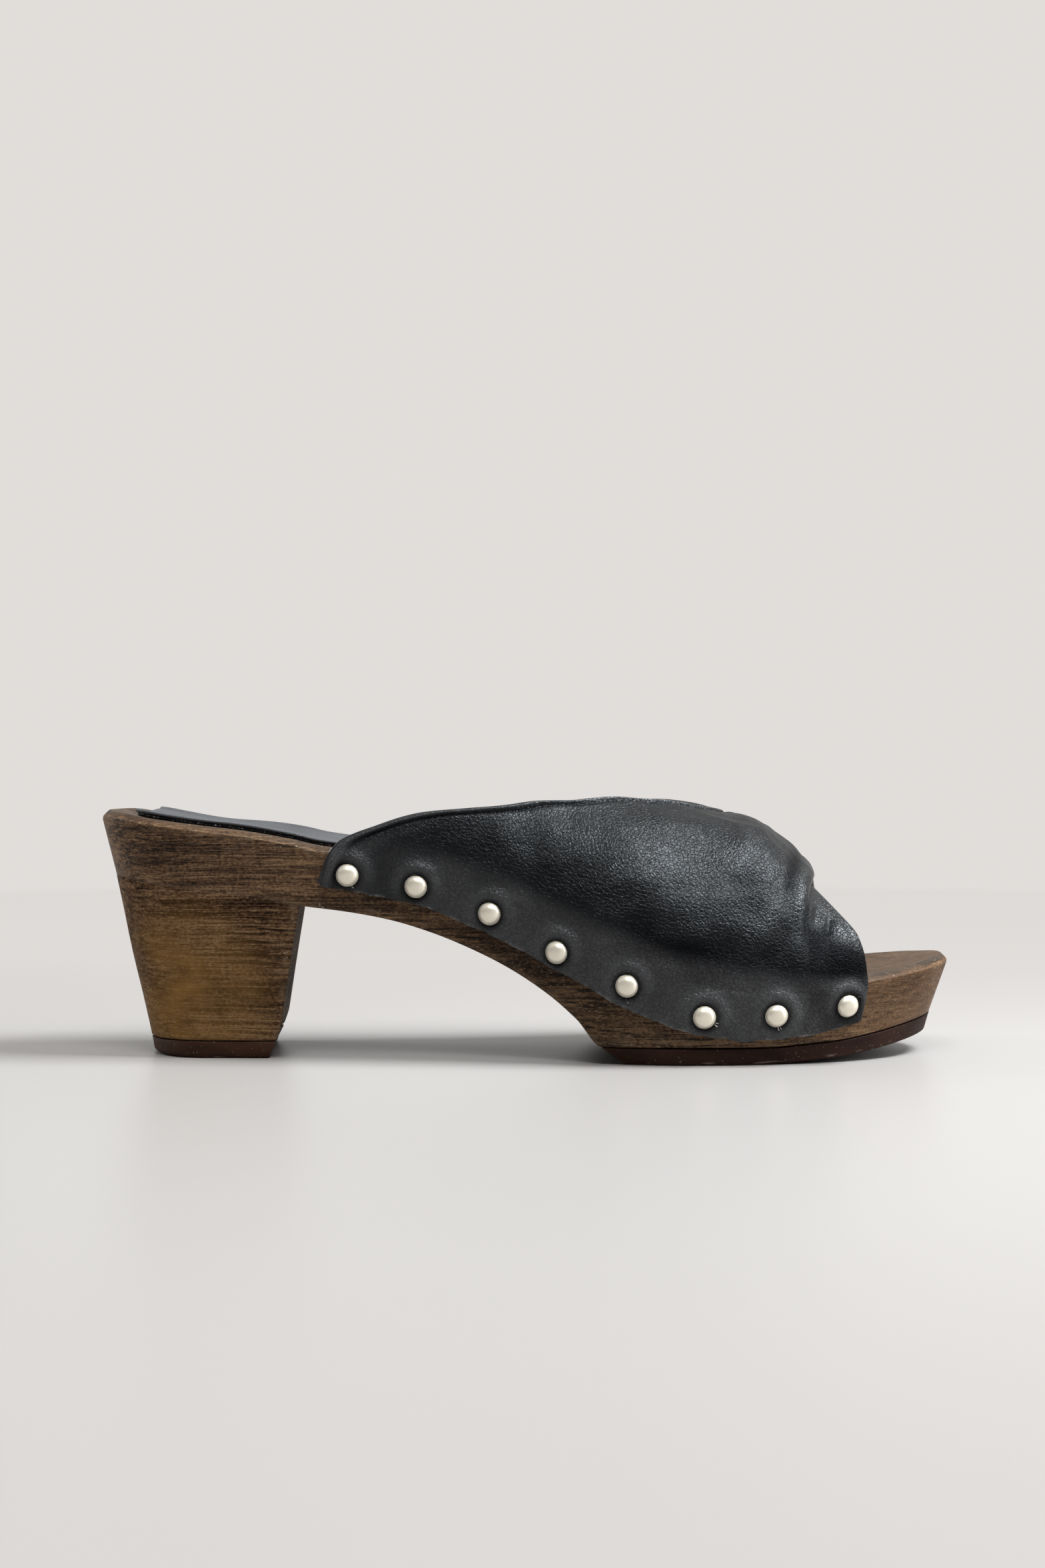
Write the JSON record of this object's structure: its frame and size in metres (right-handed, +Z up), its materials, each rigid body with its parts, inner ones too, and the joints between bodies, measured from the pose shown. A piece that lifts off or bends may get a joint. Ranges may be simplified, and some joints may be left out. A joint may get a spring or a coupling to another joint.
{
  "type": "clog",
  "caption": "Heeled wooden clog mule for the right foot, open at toe and heel, with a black leather upper twisted over the toes and nailed to the board with domed studs.",
  "frame": {"origin": "on the floor, under the middle of the shoe's length and width", "axes": "+X towards the toe, +Y towards the wearer's left, which is the inner side of this right shoe, +Z up"},
  "size_m": [0.2506, 0.0974, 0.0755],
  "materials": {
    "board_wood": "dark brown stain, matt, open grain along the board",
    "heel_wood": "dark brown stain, matt, worn paler at the back edge",
    "lift_rubber": "dark brown, matt",
    "outsole_rubber": "dark brown, matt",
    "sock_leather": "black, smooth, slightly dusty",
    "upper_leather": "black, pebbled, semi-gloss",
    "stud_metal": "polished nickel"
  },
  "bodies": {
    "root": {"sole_board": "board_wood", "heel_block": "heel_wood", "heel_lift": "lift_rubber", "forefoot_outsole": "outsole_rubber", "sock": "sock_leather", "upper": "upper_leather", "stud_lateral_1": "stud_metal", "stud_lateral_2": "stud_metal", "stud_lateral_3": "stud_metal", "stud_lateral_4": "stud_metal", "stud_lateral_5": "stud_metal", "stud_lateral_6": "stud_metal", "stud_lateral_7": "stud_metal", "stud_lateral_8": "stud_metal", "stud_medial_1": "stud_metal", "stud_medial_2": "stud_metal", "stud_medial_3": "stud_metal", "stud_medial_4": "stud_metal", "stud_medial_5": "stud_metal", "stud_medial_6": "stud_metal", "stud_medial_7": "stud_metal", "stud_medial_8": "stud_metal"}
  },
  "joints": []
}
